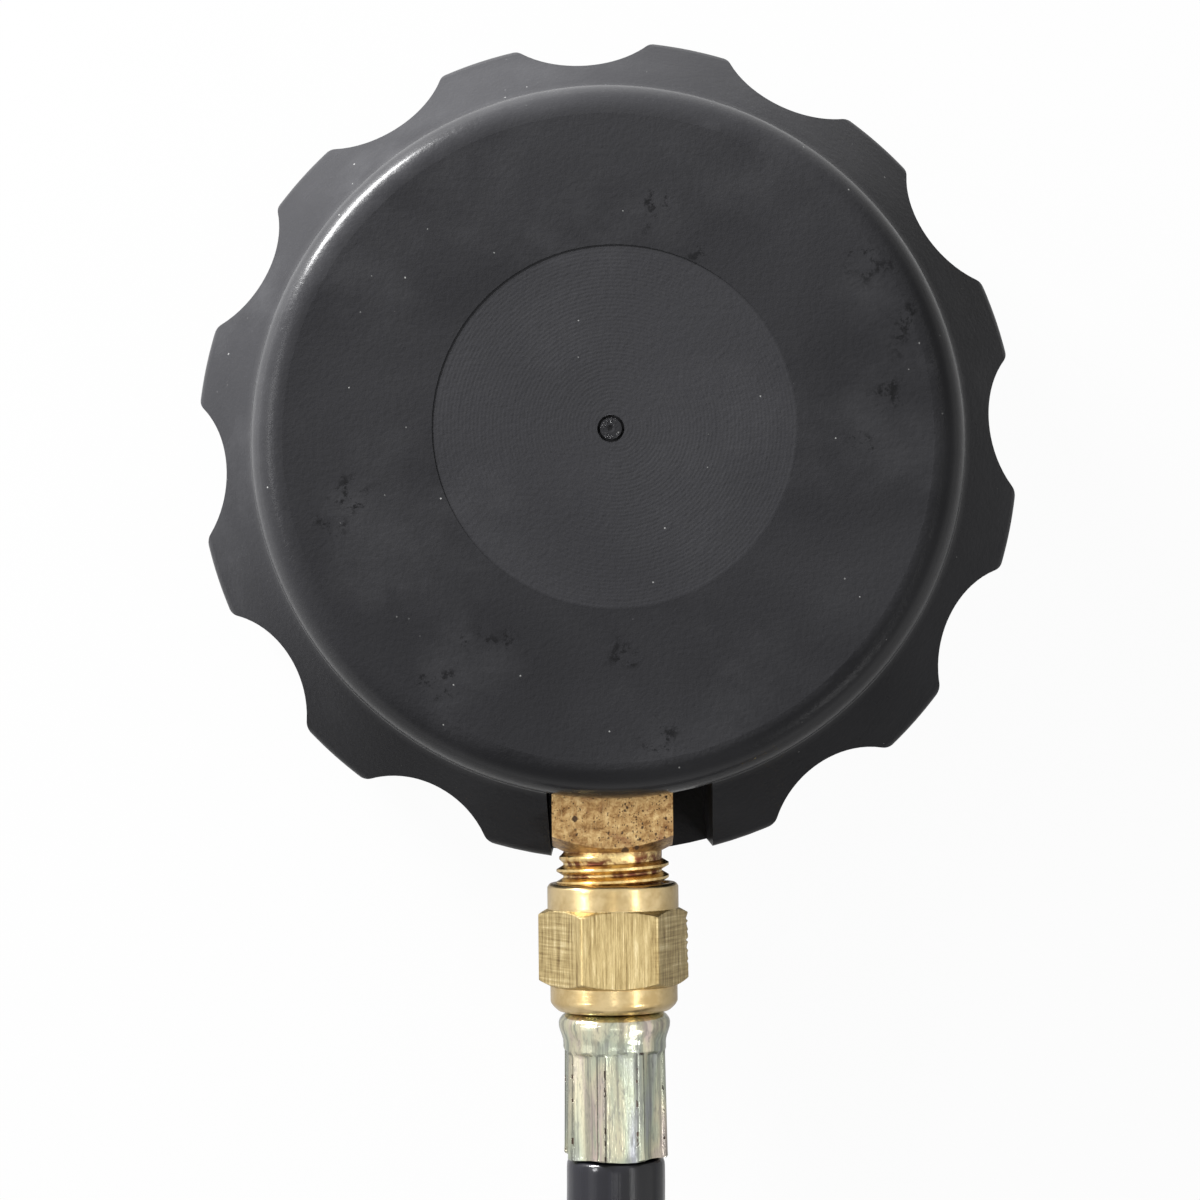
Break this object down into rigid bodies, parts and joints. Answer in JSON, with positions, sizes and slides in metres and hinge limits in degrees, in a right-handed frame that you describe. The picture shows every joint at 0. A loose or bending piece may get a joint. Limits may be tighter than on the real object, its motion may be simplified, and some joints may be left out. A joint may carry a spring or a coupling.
{
  "type": "engine oil pressure tester",
  "caption": "Dial pressure gauge in a scalloped rubber boot, with a brass stem, union nut, crimped ferrules and a coiled rubber hose ending in a threaded fitting for an engine's oil gallery.",
  "frame": {"origin": "centre of the boot's front rim plane, on which the gauge lies face down", "axes": "+Z along the dial axis from the dial towards the back, -Y along the stem towards the hose, +X to the right in the back view"},
  "size_m": [0.141, 0.3109, 0.038],
  "materials": {
    "boot_rubber": "matte",
    "case_black": "satin",
    "window_glass": "gloss",
    "seal_rubber": "matte",
    "brass": "satin",
    "bronze": "satin",
    "steel": "satin",
    "dial_white": "matte",
    "pointer_black": "matte",
    "copper": "satin",
    "zinc_plate": "gloss",
    "hose_rubber": "satin",
    "tie_plastic": "matte"
  },
  "bodies": {
    "gauge": {"boot": "boot_rubber", "case": "case_black", "bezel": "case_black", "window": "window_glass", "window_gasket": "seal_rubber", "socket": "brass", "restrictor_screw": "brass", "sensing_tube": "bronze", "hairspring": "bronze", "movement_front_plate": "brass", "movement_back_plate": "brass", "movement_pillars": "brass", "pillar_screws": "steel", "movement_screws": "steel", "dial": "dial_white", "dial_screws": "steel", "case_screws": "steel", "zero_stop_pin": "steel", "seal_washer": "copper", "hose_nipple": "zinc_plate", "gauge_ferrule": "zinc_plate", "hose": "hose_rubber", "hose_coil": "hose_rubber", "coil_tie": "tie_plastic", "engine_ferrule": "zinc_plate", "engine_fitting": "brass"},
    "sector": {"sector_gear": "brass", "link_pin": "steel", "sector_arbor": "steel"},
    "link": {"link": "brass"},
    "tube_tip": {"tube_tip": "brass"},
    "pointer": {"pinion_arbor": "steel", "pointer": "pointer_black", "pointer_hub": "brass"},
    "union_nut": {"union_nut": "brass"}
  },
  "joints": [
    {"name": "sector_swing", "type": "hinge", "parent": "gauge", "child": "sector", "pos_m": [-0.012, -0.016, 0.018], "axis": [0, 0, 1], "range_deg": [-30, 0]},
    {"name": "pointer_spin", "type": "hinge", "parent": "gauge", "child": "pointer", "pos_m": [0, 0, 0.012], "axis": [0, 0, 1], "range_deg": [0, 270], "stiffness_Nm_per_rad": 0.0002, "springref_deg": -20.05, "deforming": ["hairspring"]},
    {"name": "link_swing", "type": "hinge", "parent": "sector", "child": "link", "pos_m": [-0.01809, -0.02262, 0.018], "axis": [0, 0, 1], "range_deg": [0, 30]},
    {"name": "tip_slide", "type": "slide", "parent": "gauge", "child": "tube_tip", "axis": [-0.5358, 0.8443, 0], "range_m": [0, 0.00466], "deforming": ["sensing_tube"]},
    {"name": "nut_spin", "type": "hinge", "parent": "gauge", "child": "union_nut", "pos_m": [0, -0.06, 0.024], "axis": [0, -1, 0], "continuous": true}
  ],
  "couplings": [
    {"joint": "pointer_spin", "follows": "sector_swing", "ratio": -9},
    {"joint": "link_swing", "follows": "sector_swing", "ratio": -1},
    {"joint": "tip_slide", "follows": "sector_swing", "m_per_rad": -0.0088975}
  ]
}
